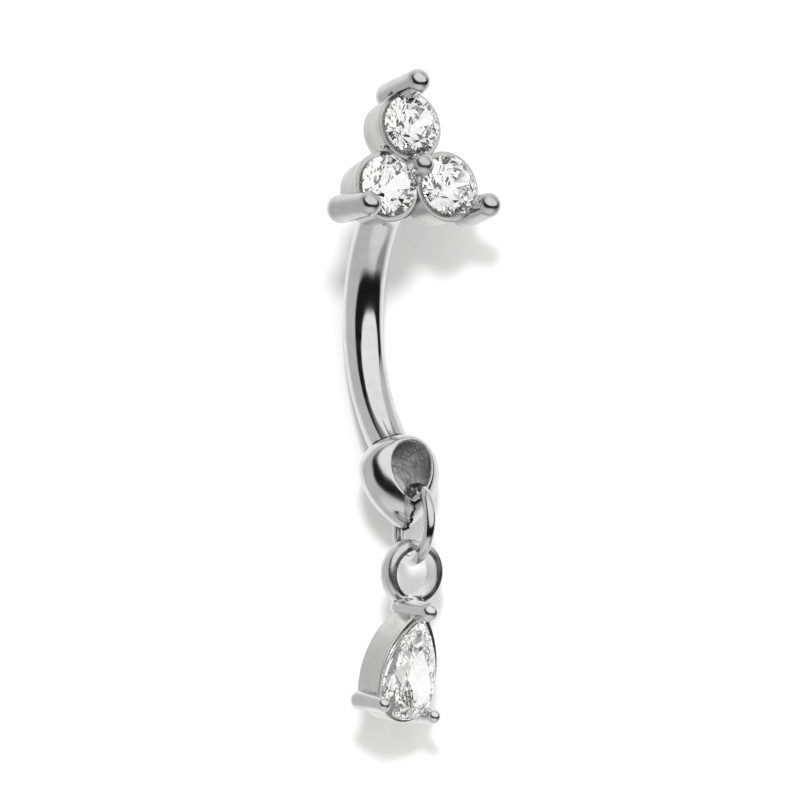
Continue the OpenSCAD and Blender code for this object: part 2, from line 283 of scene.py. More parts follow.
def pear_outline(r, tip, grow, side=28, top=44):
    """Outline of a pear round its round end's middle, x to the side and y towards the point: a
    half circle of radius r and two side arcs that meet at tip, all moved out by grow. A side arc
    gets side points and the half circle top points."""
    r, tip, grow = (np.asarray(v, float).reshape(-1, 1) for v in (r, tip, grow))
    arc = (tip ** 2 + r ** 2) / (2 * r)
    end = np.arccos((arc - r) / (arc + grow))
    down = np.linspace(1, 0, side) * end
    x1, y1 = r - arc + (arc + grow) * np.cos(down), (arc + grow) * np.sin(down)
    under = np.linspace(0, -np.pi, top)[1:-1]
    x2, y2 = (r + grow) * np.cos(under), (r + grow) * np.sin(under)
    x = np.concatenate([x1, x2, -x1[:, :0:-1]], 1)
    y = np.concatenate([y1, y2, y1[:, :0:-1]], 1)
    return x, y


def bail_slice(t, r, l, up, grow=0.0, widen=1.0):
    """The pear outline of radius r and length l at t from the front mouth to the back mouth, in the
    leaning plane there, grown and then widened. Its point is at the bottom, and up is how far that
    lies above the bail's lowest point."""
    t, r, l, up, widen = (np.asarray(v, float).reshape(-1, 1) for v in (t, r, l, up, widen))
    x, y = pear_outline(r, l - r, grow + 0 * t)
    lean = np.radians(mix(*MOUTH_LEAN, t))
    rise = up + l - r - y
    f = mix(*MOUTH_AHEAD, t) - np.sin(lean) * rise
    z = mix(*MOUTH_LOW, t) + np.cos(lean) * rise
    return np.stack([x * widen, -f, z], -1)


def bail_skin(t):
    """The bail's outside at t: the mouths' pear, swollen and widened by the dome between them."""
    swell = t * (1 - t)
    return bail_slice(t, mix(*MOUTH_HALF, t), mix(*MOUTH_LONG, t), 0, DOME * swell[:, None],
                      1 + swell)


def soft_loop(corners, radii, steps=6):
    """A closed outline whose corners are rounded: at each corner the side before and the side after
    are cut back by their two radii and joined by a parabola. A point just beyond each cut keeps the
    flat sides flat."""
    c = np.asarray(corners, float)
    r = np.asarray(radii, float)
    r = np.broadcast_to(r[:, None] if r.ndim == 1 else r, (len(c), 2))
    back, on = np.roll(c, 1, 0) - c, np.roll(c, -1, 0) - c
    back /= np.linalg.norm(back, axis=1)[:, None]
    on /= np.linalg.norm(on, axis=1)[:, None]
    first, last = c + back * r[:, :1], c + on * r[:, 1:]
    t = np.linspace(0, 1, steps)[:, None, None]
    bend = (1 - t) ** 2 * first + 2 * t * (1 - t) * c + t ** 2 * last
    line = np.concatenate([(first + back * r[:, :1] * 0.2)[None], bend,
                           (last + on * r[:, 1:] * 0.2)[None]])
    return line.transpose(1, 0, 2).reshape(-1, 2)


def fill_long(loop, longest=0.5, parts=9):
    """Splits the sides of a closed outline that are longer than longest into parts."""
    ends = np.roll(loop, -1, 0)
    far = np.linalg.norm(ends - loop, axis=1) > longest
    return np.concatenate([np.linspace(a, b, parts if long else 1, endpoint=False)
                           for a, b, long in zip(loop, ends, far)])


# The wall's section, from mouth to mouth and from skin to bore, with its edges rounded over
section = fill_long(soft_loop([(0, 0), (BAIL_DEEP, 0), (BAIL_DEEP, BAIL_WALL), (0, BAIL_WALL)],
                              [(0.11, 0.34), (0.2, 0.09), (0.03, 0.05), (0.05, 0.035)], 12))
deep, inward = section[:, 0] / BAIL_DEEP, section[:, 1] / BAIL_WALL
outer = bail_skin(deep)
bore_ends = [bail_slice(k, mix(*BORE_HALF, k), mix(*BORE_LONG, k), mix(*BORE_UP, k))
             for k in (-BORE_PAST, 1 + BORE_PAST)]
inner = mix(*bore_ends, ((deep + BORE_PAST) / (1 + 2 * BORE_PAST))[:, None, None])
# Polished by hand over a curved skin, so a little softer than the post and with deeper hollows
bail_steel = steel("polished_bail_strip", "#EAEAEA", "#D0D0D0", 0.08, 0.2, 5.0)
# Filed and never polished: dull and a little darker, with bright cut marks. The rest of its dark tone
# is painted shade, because the inside of the bail's loop lies in shadow
bore_steel_and_shade = steel("filed_bore_with_painted_shade", "#BEBEBE", "#686868", 0.3, 0.5, 8.0)
tree = bore_steel_and_shade.node_tree
shader = tree.nodes["Principled BSDF"]
base = shader.inputs["Base Color"].links[0].from_socket
place = add(tree, "ShaderNodeTexCoord").outputs["Object"]
strokes = []
# File strokes cross each other at about 70 degrees. Each is about 0.04 mm wide and 0.5 mm long
for tip_over in (0.5, -0.7):
    laid = add(tree, "ShaderNodeMapping",
               links={"Vector": place, "Rotation": (0.5, tip_over, 0.3), "Scale": (1, 1, 0.08)})
    strokes.append(add(tree, "ShaderNodeTexNoise",
                       links={"Vector": laid.outputs[0], "Scale": 12000.0, "Detail": 2.0,
                              "Roughness": 0.8}).outputs["Fac"])
stroke = add(tree, "ShaderNodeMath", {"operation": "MAXIMUM"}, {0: strokes[0], 1: strokes[1]})
bright = add(tree, "ShaderNodeMapRange", links={"Value": stroke.outputs[0], "From Min": 0.5,
                                                "From Max": 0.68, "To Min": 0.0, "To Max": 1.0})
filed = add(tree, "ShaderNodeMix", {"data_type": "RGBA"},
            {0: bright.outputs[0], 6: base, 7: srgb("#DADADA")})
tree.links.new(filed.outputs[2], shader.inputs["Base Color"])
groove = add(tree, "ShaderNodeBump", links={"Height": stroke.outputs[0], "Distance": 1.2e-5,
                                            "Strength": 0.9})
tree.links.new(groove.outputs[0], shader.inputs["Normal"])
bail = piece("pear_bail", [skin(mix(outer, inner, inward[:, None, None]), ring=True)], bail_steel,
             "root")
bail.data.materials.append(bore_steel_and_shade)
# Only the wall's innermost quarter is filed and darkened with painted shade
in_bore = np.repeat((inward > 0.75).astype(np.int32), outer.shape[1])
bail.data.polygons.foreach_set("material_index", in_bore)

# The solder that holds the post in the bail: a thin uneven bead round the joint, left dull. A
# ragged seam of the same solder closes the bail along its point.
joint_lean = foot_lean(0.0)
joint = round_post(joint_lean, turn, POST_WIRE)
out = joint - round_post(joint_lean, turn, 0.001)
out /= np.linalg.norm(out, axis=1)[:, None]
onward = np.roll(joint, -1, 0) - np.roll(joint, 1, 0)
onward /= np.linalg.norm(onward, axis=1)[:, None]
bead = 0.042 + 0.012 * np.sin(5 * turn) + 0.009 * np.sin(11 * turn + 1) + 0.006 * np.sin(23 * turn)
bead_turn = np.linspace(0, 2 * np.pi, 12, endpoint=False)[:, None, None]
bead_grid = joint + bead[:, None] * (np.cos(bead_turn) * out
                                     + np.sin(bead_turn) * np.cross(out, onward))
seam_t = np.linspace(0.04, 0.97, 60)
seam_line = bail_skin(seam_t)[:, 0]
thick = (0.045 + 0.012 * np.sin(37 * seam_t) + 0.01 * np.sin(83 * seam_t + 1)) * np.sin(
    np.pi * (seam_t - 0.03) / 0.95) ** 0.3
thick[[0, -1]] = 0
wander = 0.03 * np.sin(19 * seam_t) + 0.02 * np.sin(53 * seam_t + 2)
seam_way = np.array([0, MOUTH_AHEAD[0] - MOUTH_AHEAD[1], MOUTH_LOW[1] - MOUTH_LOW[0]])
sideways = np.array([1.0, 0, 0])
seam_out = np.cross(seam_way / np.linalg.norm(seam_way), sideways)
seam_turn = bead_turn.reshape(1, -1, 1)
seam_grid = (seam_line + wander[:, None] * sideways)[:, None] + thick[:, None, None] * (
    np.cos(seam_turn) * sideways + np.sin(seam_turn) * seam_out)
# Silver solder that was never polished: dark from the flame, dull and pitted
solder = steel("silver_solder", "#5E5E5D", "#2E2E2D", 0.25, 0.45, 6.0)
piece("bail_solder", [skin(bead_grid, ring=True), skin(seam_grid)], solder, "root",
      marks=[(*p, 0.14) for p in joint[::10]] + [(*p, 0.07) for p in seam_line[::20]])

# The three-stone head: cast cups soldered side by side, with round wire prongs between them.
# The castings are tumbled, so they are satin, and the prong ends are burnished bright.
FACE_MIDDLE = np.array([0, -2.86, 4.59])
# The head's face leans back by 12 degrees: its side, its way up and the way it looks
FACE = np.array([[1, 0, 0], [0, 0.2079, 0.9781], [0, -0.9781, 0.2079]])
CUP_POINTS = 96
# How far from the face's middle the cups and the prongs stand, and how far below it the boss
CUP_OUT = 1.2413
PRONG_OUT = 2.4913
BOSS_DOWN = 0.7735
# Each prong's foot: its angle round the face, how far out and how high. Then its tip's angle and
# height
PRONG_ENDS = ((90, PRONG_OUT - 0.11, -0.9, 90, 0.67), (206, PRONG_OUT, -0.85, 210, 0.54),
              (330, PRONG_OUT, -0.9, 330, 0.46))


def on_face(points):
    """From the head's face, x to the side, y up the face and z out of it, to the whole piece."""
    return np.asarray(points, float) @ FACE + FACE_MIDDLE


def face_at(angle, out, z):
    """A place on the face: an angle in degrees from its side, how far out, and how high above."""
    a = math.radians(angle)
    return np.array([out * math.cos(a), out * math.sin(a), z])


def lathe(profile, foot, way, around=72):
    """A profile of (radius, height) points turned round an axis through foot."""
    way = np.asarray(way, float) / np.linalg.norm(way)
    one = np.cross(way, (0.31, 0.87, 0.38))
    one /= np.linalg.norm(one)
    two = np.cross(way, one)
    a = np.linspace(0, 2 * np.pi, around, endpoint=False)[None, :, None]
    r, h = profile[:, 0][:, None, None], profile[:, 1][:, None, None]
    return np.asarray(foot) + r * (np.cos(a) * one + np.sin(a) * two) + h * way


def rod(foot, tip, foot_r, tip_r):
    """A straight taper from foot to tip with a half ball on each end."""
    length = np.linalg.norm(np.subtract(tip, foot))
    low = np.linspace(-np.pi / 2, 0, 14)
    high = np.linspace(0, np.pi / 2, 24)
    h = np.linspace(0.05, 0.95, 10) * length
    profile = np.concatenate([np.stack([foot_r * np.cos(low), foot_r * np.sin(low)], 1),
                              np.stack([mix(foot_r, tip_r, h / length), h], 1),
                              np.stack([tip_r * np.cos(high), length + tip_r * np.sin(high)], 1)])
    profile[[0, -1], 0] = 0
    return lathe(profile, foot, np.subtract(tip, foot), 48)


# A cup's wall as radius and height: its back, its outside, its rim, the stone's seat, its inside
cup = soft_loop([(0.4, -1.15), (0.95, -1.15), (1.09, 0), (0.925, 0.0), (0.81, -0.076),
                 (0.81, -1.0), (0.4, -1.0)], [0.03, 0.04, 0.035, 0.02, 0.01, 0.03, 0.03])
cup_shells = [skin(on_face(lathe(cup, face_at(90 + 120 * i, CUP_OUT, 0), (0, 0, 1), CUP_POINTS)),
                   ring=True) for i in range(3)]
# Tumbled castings: an even satin that still takes soft reflections
cast_steel = steel("tumbled_cast_steel", "#D6D6D5", "#BDBDBC", 0.16, 0.3, 6.0)
solder_spots = on_face([[-1.0, 0.45, -0.2], [-0.95, 0.9, -0.5], [-0.2, 2.2, -0.3],
                        [-2.1, -1.1, -0.5], [0, 0, -0.2], [2.0, -1.2, -0.4]])
cups = piece("stone_cups", cup_shells, cast_steel, "root", ("trinity_setting",),
             marks=[(*p, 0.22) for p in solder_spots])
# Tools don't reach inside the cups, so their insides stay dull from casting. Their near black tone is
# painted shade, because the hollow under each stone lies in shadow
seat_steel_painted_shade = steel("dull_seat_with_painted_shade", "#7A7A7A", "#3C3C3C", 0.35, 0.55, 8.0)
cups.data.materials.append(seat_steel_painted_shade)
in_cup = (cup[:, 0] < 0.86) & (cup[:, 1] < -0.03) & (cup[:, 1] > -1.1)
in_cup = np.tile(np.repeat(in_cup, CUP_POINTS), len(cup_shells)).astype(np.int32)
cups.data.polygons.foreach_set("material_index", in_cup)

# Drawn wire rubbed with a burnisher: brighter than the cups, but not as smooth as the post
prong_steel = steel("burnished_steel_wire", "#DDDDDD", "#C4C4C4", 0.12, 0.26, 4.0)
# The prongs stand a little lower than the cups
prongs_at = np.array([0, -0.04, 0])
prongs = [skin(on_face(rod(face_at(a, out, low) + prongs_at, face_at(b, PRONG_OUT, high) + prongs_at,
                           0.43, 0.38)))
          for a, out, low, b, high in PRONG_ENDS]
# The middle prong, and the small claw that reaches down from it
prongs.append(skin(on_face(rod(prongs_at + (0, 0, -0.6), prongs_at + (0, 0, 0.4), 0.38, 0.35))))
prongs.append(skin(on_face(rod(prongs_at + (0, -0.1, 0.2), prongs_at + (0, -0.5, 0.1), 0.25, 0.07))))
piece("head_prongs", prongs, prong_steel, "root", marks=[(*p, 0.2) for p in solder_spots])

# The pin goes into the post, and the boss above it closes the joint. Radius and height
boss = np.array([(0, -1.92), (0.31, -1.92), (0.34, -1.9), (0.35, -1.86), (0.35, -1.27),
                 (0.57, -1.27), (0.6, -1.24), (0.6, -1.1), (0, -1.1)])
piece("boss_and_pin", [skin(on_face(lathe(boss, (0, -BOSS_DOWN, 0), (0, 0, 1))))], prong_steel,
      "root")

# The round stones: cubic zirconia cut as round brilliants, 1.86 mm, pressed into their cups.
# The stone is clear and splits light strongly. Each flat facet shows its own piece of the studio.
STONE_R = 0.93
STONE_UP = 0.1
# How far each stone is turned in its cup, in degrees
CUT_TURN = {"stone_top": 3, "stone_left": -8, "stone_right": 6}
# The girdle, the narrow band round the stone, has this many flats
GIRDLE_FLATS = 64


def planes_through(a, b, c):
    """Planes through three rows of points, as normals that point away from the stone's middle."""
    n = np.cross(b - a, c - a)
    n /= np.linalg.norm(n, axis=1)[:, None]
    d = np.einsum("ij,ij->i", n, a)
    flip = np.where(d < 0, -1.0, 1.0)
    return n * flip[:, None], d * flip


def two_heights(planes, points):
    """Heights of planes over points, and the heights there of each plane's next neighbour."""
    n, d = planes
    return [(e - np.einsum("ij,ij->i", m[:, :2], points[:, :2])) / m[:, 2]
            for m, e in ((n, d), (np.roll(n, -1, 0), np.roll(d, -1)))]


def facet_planes(reach, table=0.57, crown=0.279, pavilion=0.78, girdle=0.05, turn=0.0, keel=0.0,
                 mains=8):
    """The planes of a brilliant whose outline is reach(angle): table, mains, as many stars, twice
    as many upper halves, pavilion mains, twice as many lower halves, and a girdle of 64 narrow
    flats. Its lowest point, the culet, lies keel towards y."""
    def at(angle, share, z):
        r = reach(angle) * share
        return np.stack([r * np.cos(angle), r * np.sin(angle), z + 0 * angle], -1)

    main = np.radians(np.arange(mains) * 360 / mains + turn)
    after = main + 2 * np.pi / mains
    rim = at(main + np.pi / mains, 1, 0)
    step = 1e-3
    # Mains touch the girdle along its own direction and pass through the table's corners
    upper = planes_through(at(main - step, 1, girdle), at(main + step, 1, girdle),
                           at(main, table, girdle + crown))
    # Stars end half way from the table's edge to the girdle, where two mains meet
    star = mix((at(main, table, 0) + at(after, table, 0)) / 2, rim, 0.5)
    star[:, 2] = np.minimum(*two_heights(upper, star))
    # Pavilion mains meet at the culet. Lower halves run 77% of the way down to it
    culet = np.tile([0, keel, -girdle - pavilion], (mains, 1))
    lower = planes_through(at(main - step, 1, -girdle), at(main + step, 1, -girdle), culet)
    deep = mix(culet, rim, 0.23)
    deep[:, 2] = np.maximum(*two_heights(lower, deep))
    flat = np.radians(np.arange(GIRDLE_FLATS) * 360 / GIRDLE_FLATS + turn)
    sets = [upper,
            planes_through(at(main, table, girdle + crown), at(after, table, girdle + crown), star),
            planes_through(at(main, 1, girdle), rim + (0, 0, girdle), star),
            planes_through(at(after, 1, girdle), rim + (0, 0, girdle), star),
            lower,
            planes_through(at(main, 1, -girdle), rim - (0, 0, girdle), deep),
            planes_through(at(after, 1, -girdle), rim - (0, 0, girdle), deep),
            planes_through(at(flat - step, 1, 0), at(flat + step, 1, 0), at(flat, 1, 0.1)),
            (np.array([[0, 0, 1.0]]), np.array([girdle + crown]))]
    return np.concatenate([n for n, _ in sets]), np.concatenate([d for _, d in sets])


def cut_stone(n, d):
    """Corners and facets of the solid inside all the planes: every three planes meet in a point,
    and the points inside all planes are its corners, put in order round each facet."""
    i, j, k = np.array(np.meshgrid(*[np.arange(len(n))] * 3, indexing="ij")).reshape(3, -1)
    keep = (i < j) & (j < k)
    i, j, k = i[keep], j[keep], k[keep]
    cross = np.cross(n[j], n[k])
    det = np.einsum("ij,ij->i", n[i], cross)
    # Planes that are nearly parallel have no meeting point
    ok = np.abs(det) > 1e-5
    i, j, k, cross, det = i[ok], j[ok], k[ok], cross[ok], det[ok]
    p = (d[i, None] * cross + d[j, None] * np.cross(n[k], n[i])
         + d[k, None] * np.cross(n[i], n[j])) / det[:, None]
    inside = np.ones(len(p), bool)
    for row in range(len(n)):
        inside &= p @ n[row] < d[row] + 1e-6
    p = p[inside]
    # Points within 0.05 micrometres of each other are one corner
    p = p[np.unique(np.round(p * 2e4).astype(np.int64), axis=0, return_index=True)[1]]
    facets = []
    for row in range(len(n)):
        on = np.flatnonzero(np.abs(p @ n[row] - d[row]) < 6e-5)
        if len(on) < 3:
            continue
        u = np.cross(n[row], (0.3, 0.5, 0.81))
        v = np.cross(n[row], u)
        q = p[on] - p[on].mean(0)
        facets.append(on[np.argsort(np.arctan2(q @ v, q @ u))])
    return p, np.concatenate(facets), np.array([len(f) for f in facets])


def zirconia(name):
    """Clear cubic zirconia: index 2.17, polished, with a faint unevenness in each facet."""
    mat, tree = blank(name)
    place = add(tree, "ShaderNodeTexCoord").outputs["Object"]
    # Fine wear of the facets' polish, 0.1 mm across
    wear = add(tree, "ShaderNodeTexNoise", links={"Vector": place, "Scale": 9000.0, "Detail": 2.0})
    dull = add(tree, "ShaderNodeMapRange",
               links={"Value": wear.outputs["Fac"], "From Min": 0.45, "From Max": 0.75,
                      "To Min": 0.0, "To Max": 0.04})
    shader = add(tree, "ShaderNodeBsdfPrincipled",
                 links={"Base Color": srgb("#FFFFFF"), "Roughness": dull.outputs[0], "IOR": 2.17,
                        "Transmission Weight": 1.0})
    add(tree, "ShaderNodeOutputMaterial", links={"Surface": shader.outputs[0]})
    return mat


# Bends light more than glass does, so its facets turn fully light or fully dark
clear_stone = zirconia("cubic_zirconia")
for i, name in enumerate(("stone_top", "stone_left", "stone_right")):
    corners, *facets = cut_stone(*facet_planes(lambda a: STONE_R + 0 * a, turn=CUT_TURN[name]))
    corners = on_face(corners + face_at(90 + 120 * i, CUP_OUT, STONE_UP))
    piece(name + "_cut", [(corners, *facets)], clear_stone, "root", (name,), smooth=0.5)

# The jump ring: round wire bent to a ring, its ends soldered, polished with the rest.
# Its wire is a little uneven, and it hangs turned by 8 degrees and tilted by 5.
LINK_MIDDLE = np.array([0, -2.82, -6.13])
LINK_R = 1.08
LINK_WIRE = 0.18


def turned(axis, degrees):
    """A rotation about x, y or z."""
    a = math.radians(degrees)
    c, s = math.cos(a), math.sin(a)
    return np.array({"x": [[1, 0, 0], [0, c, -s], [0, s, c]],
                     "y": [[c, 0, s], [0, 1, 0], [-s, 0, c]],
                     "z": [[c, -s, 0], [s, c, 0], [0, 0, 1]]}[axis])


ring_turn = np.linspace(0, 2 * np.pi, 160, endpoint=False)[:, None]
wire_turn = np.linspace(0, 2 * np.pi, 32, endpoint=False)[None, :]
wire = LINK_WIRE * (1 + 0.012 * np.sin(3 * ring_turn + 1) + 0.008 * np.sin(7 * ring_turn))
ring_r = LINK_R + wire * np.cos(wire_turn)
ring = np.stack([wire * np.sin(wire_turn), ring_r * np.cos(ring_turn), ring_r * np.sin(ring_turn)], -1)
ring = ring @ (turned("z", -8) @ turned("y", 5)).T + LINK_MIDDLE
# Thin wire polished on the wheel: almost as smooth as the post, with the shallowest hollows
ring_steel = steel("polished_ring_wire", "#E6E6E6", "#CCCCCC", 0.06, 0.2, 2.0)
piece("soldered_jump_ring", [skin(ring, ring=True)], ring_steel, "link", ("jump_ring",),
      marks=[(0, -2.82, -5.05, 0.3), (0, -2.62, -5.06, 0.3)])

# The pear setting: a strip bent round the stone and soldered at its point, three prongs of round
# wire, and a short ring soldered over the point. The strip is brushed upright, the rest polished.
DROP = turned("x", 5.3) @ turned("y", 11.4)
DROP_TOP = np.array([-0.0932, -2.8069, -7.2059])
PEAR = turned("z", 4) @ turned("x", 90)
# Where the pear's middle hangs from the wire that holds the drop, and how far it lies above the
# middle of its round end
PEAR_AT = (-0.03, -1.24, -3.2)
PEAR_MIDDLE = 0.595
PEAR_R = 0.93
PEAR_TIP = 2.12
PEAR_WALL = 0.12
SHOULDER_POWER = 60
# Where the claws stand: the top one above the round end's middle, the lower ones to each side
CLAW_TOP = 2.36
CLAW_SIDE = (0.9645, -0.6263)


def on_drop(points):
    """From the drop's own frame, whose origin is the wire that it hangs from."""
    return np.asarray(points, float) @ DROP.T + DROP_TOP


def on_pear(points):
    """From the pear wall's rim: x to the side, y towards the point, z out of the front."""
    flat = np.asarray(points, float) + (0, -PEAR_MIDDLE, 0)
    return on_drop(flat @ PEAR.T + PEAR_AT)


def pear_reach(angle, grow=0.0, up=0.0, wide=0.0):
    """Distance to the pear's outline at an angle round its round end's middle. The outline may be
    moved out by grow, moved up, or have a round end that is wide larger."""
    x, y = pear_outline(PEAR_R + wide, PEAR_TIP, grow, 400, 400)
    x, y = x[0], y[0] + up
    a = np.arctan2(y, x)
    order = np.argsort(a)
    return np.interp(angle, a[order], np.hypot(x, y)[order], period=2 * np.pi)


# More points towards the pear's point, on both sides of it
wall_turn = np.radians(np.concatenate([np.linspace(90, 30, 40, endpoint=False),
                                       np.linspace(30, -210, 100, endpoint=False),
                                       np.linspace(-210, -270, 40, endpoint=False)]))
stone_r = pear_reach(wall_turn)
plain_r = pear_reach(wall_turn, 0.08)
shoulder_r = pear_reach(wall_turn, 0.0, 0.3, 0.1)
# The outside follows the larger of two outlines. A mean of high power rounds the change over
wall_r = (plain_r ** SHOULDER_POWER + shoulder_r ** SHOULDER_POWER) ** (1 / SHOULDER_POWER)
loop = fill_long(soft_loop([(PEAR_WALL, -1.05), (PEAR_WALL, 0), (0.01, 0), (-PEAR_WALL, -0.11),
                            (-PEAR_WALL, -1.05)], [0.03, 0.035, 0.015, 0.01, 0.03]))
share = np.clip(loop[:, :1] / PEAR_WALL, 0, 1)
r = stone_r + share * (wall_r - stone_r) + np.minimum(loop[:, :1], 0)
wall = np.stack([r * np.cos(wall_turn), r * np.sin(wall_turn), loop[:, 1:] + 0 * r], -1)
# Brushed upright with a coarse wheel, so its light is broad and streaked
wall_steel = steel("brushed_pear_wall", "#ECECEB", "#D2D2D1", 0.14, 0.32, 16.0, (1, 1, 0.1))
# Rubbed over the stone's edge with a burnisher, which leaves the palest of these steels
claw_steel = steel("burnished_claws", "#EEEEEE", "#D8D8D8", 0.1, 0.24, 4.0)
claw_joints = on_pear([[0, 2.3, -0.4], [0.9, -0.6, -0.3], [-0.9, -0.6, -0.3]])
pear_wall = piece("pear_wall", [skin(on_pear(wall), ring=True)], wall_steel, "drop",
                  ("pear_setting",), marks=[(*q, 0.15) for q in claw_joints])
# The pear's seat takes the same dull steel, darkened with painted shade
pear_wall.data.materials.append(seat_steel_painted_shade)
in_seat = (loop[:, 0] < -0.01) & (loop[:, 1] > -1.03)
pear_wall.data.polygons.foreach_set("material_index",
                                    np.repeat(in_seat, len(wall_turn)).astype(np.int32))
claw_x, claw_y = CLAW_SIDE
claws = [skin(on_pear(rod((0, CLAW_TOP, -1.1), (0, CLAW_TOP, 0.3), 0.3, 0.29)))]
claws += [skin(on_pear(rod((x, claw_y, -0.8), (x, claw_y, 0.36), 0.3, 0.22)))
          for x in (-claw_x, claw_x)]
piece("pear_claws", claws, claw_steel, "drop", marks=[(*q, 0.2) for q in claw_joints])

# The eye's band as radius and height, its outer edges rounded over by the wheel
band = fill_long(soft_loop([(0.7, -0.3), (1.02, -0.3), (1.02, 0.3), (0.7, 0.3)],
                           [(0.04, 0.04), (0.2, 0.26), (0.26, 0.2), (0.04, 0.04)], 16))
eye = on_drop(lathe(band, (0, -0.16, -0.355), (0, 1, 0), 128))
# Polished strip: duller than the ring's wire, so its reflections are softer
eye_steel = steel("polished_eye_band", "#EAEAEA", "#D0D0D0", 0.12, 0.3, 6.0)
piece("drop_eye", [skin(eye, ring=True)], eye_steel, "drop",
      marks=[(*on_drop([[0.1, -0.4, -1.25]])[0], 0.3)])
# The saddle of solder under the eye: a flat lumpy ball, narrower in front and behind
u = np.linspace(-np.pi / 2, np.pi / 2, 40)[:, None]
v = np.linspace(0, 2 * np.pi, 64, endpoint=False)[None, :]
lump = 1 + 0.05 * np.sin(3 * v + 4 * u) + 0.04 * np.sin(5 * v - 7 * u + 1)
waist = 1 - 0.25 * np.cos(u) ** 2 * np.abs(np.sin(v)) ** 3
saddle = np.stack([0.4 * lump * waist * np.cos(u) * np.cos(v) + 0 * u,
                   0.56 * lump * np.cos(u) * np.sin(v) - 0.36, 0.25 * np.sin(u) - 1.29 + 0 * v], -1)
piece("eye_solder", [skin(on_drop(saddle))], claw_steel, "drop",
      marks=[(*q, 0.1) for q in on_drop([[-0.34, -0.2, -1.22], [0.3, -0.5, -1.2]])])

# The pear stone: cubic zirconia cut as a pear brilliant, 3.05 by 1.86 mm. It has twelve mains
# above and below, and its culet lies towards the point, so it glitters over its whole length.
corners, *facets = cut_stone(*facet_planes(pear_reach, pavilion=0.8, turn=90.0, keel=0.3, mains=12))
corners = on_pear(corners + (0, 0, STONE_UP))
piece("pear_stone_cut", [(corners, *facets)], clear_stone, "drop", ("pear_stone",), smooth=0.5)

# The studio: a pale floor under the hanging piece, and round it a grey surround with a large soft
# lamp panel in front in a black frame, which is what the steel mirrors.
TURN_LEFT = math.radians(33)
FLOOR_HALF = 70.0


def sheet(name, middle, side, up, half, material):
    """A flat square in mm round middle, half its width along side and up. Steel doesn't mirror it."""
    square = np.array([(-1, -1), (1, -1), (1, 1), (-1, 1)]) * half
    mesh = bpy.data.meshes.new(name)
    points = middle + square @ np.array([side, up])
    mesh.from_pydata((points * MM).tolist(), [], [(0, 1, 2, 3)])
    mesh.materials.append(material)
    obj = bpy.data.objects.new(name, mesh)
    bpy.context.scene.collection.objects.link(obj)
    obj.visible_glossy = False


# Matt paper, a little cloudy
paper, tree = blank("pale_paper")
place = add(tree, "ShaderNodeTexCoord").outputs["Object"]
# Paper's cloudy tone, 8 mm across
tooth = add(tree, "ShaderNodeTexNoise", links={"Vector": place, "Scale": 120.0, "Detail": 5.0})
tint = add(tree, "ShaderNodeMix", {"data_type": "RGBA"},
           {0: tooth.outputs["Fac"], 6: srgb("#DADAD8"), 7: srgb("#D0D0CE")})
matt = add(tree, "ShaderNodeBsdfPrincipled",
           links={"Base Color": tint.outputs[2], "Roughness": 0.9})
add(tree, "ShaderNodeOutputMaterial", links={"Surface": matt.outputs[0]})
sheet("floor", np.array([0, -2.0, -17.0]), (1.0, 0, 0), (0, 1.0, 0), FLOOR_HALF, paper)

world = bpy.data.worlds.new("studio")
bpy.context.scene.world = world
world.use_nodes = True
tree = world.node_tree
tree.nodes.clear()
way = add(tree, "ShaderNodeTexCoord").outputs["Generated"]
# The studio's front is turned 33 degrees to the left, where the photograph was taken from
turned_left = add(tree, "ShaderNodeVectorRotate", {"rotation_type": "Z_AXIS"},
                  {"Vector": way, "Angle": TURN_LEFT})
parts = add(tree, "ShaderNodeSeparateXYZ", links={0: turned_left.outputs[0]})
ahead = add(tree, "ShaderNodeMath", {"operation": "MULTIPLY"}, {0: parts.outputs[1], 1: -1.0})
azimuth = add(tree, "ShaderNodeMath", {"operation": "ARCTAN2"},
              {0: parts.outputs[0], 1: ahead.outputs[0]})
azimuth = add(tree, "ShaderNodeMath", {"operation": "DEGREES"}, {0: azimuth.outputs[0]}).outputs[0]
height = add(tree, "ShaderNodeMath", {"operation": "ARCSINE"}, {0: parts.outputs[2]})
height = add(tree, "ShaderNodeMath", {"operation": "DEGREES"}, {0: height.outputs[0]}).outputs[0]
# The surround is grey, a little lighter overhead. The lamp panel and its frame spread to the left
# towards their top, so their sides are measured from a leaning edge
light = add(tree, "ShaderNodeMapRange", {"interpolation_type": "SMOOTHSTEP"},
            {"Value": height, "From Min": 50.0, "From Max": 80.0, "To Min": 0.6,
             "To Max": 0.95}).outputs[0]
lean = add(tree, "ShaderNodeMapRange", {},
           {"Value": height, "From Min": 8.0, "From Max": 43.0, "To Min": 0.0, "To Max": 26.0})
leaning = add(tree, "ShaderNodeMath", {"operation": "ADD"},
              {0: azimuth, 1: lean.outputs[0]}).outputs[0]
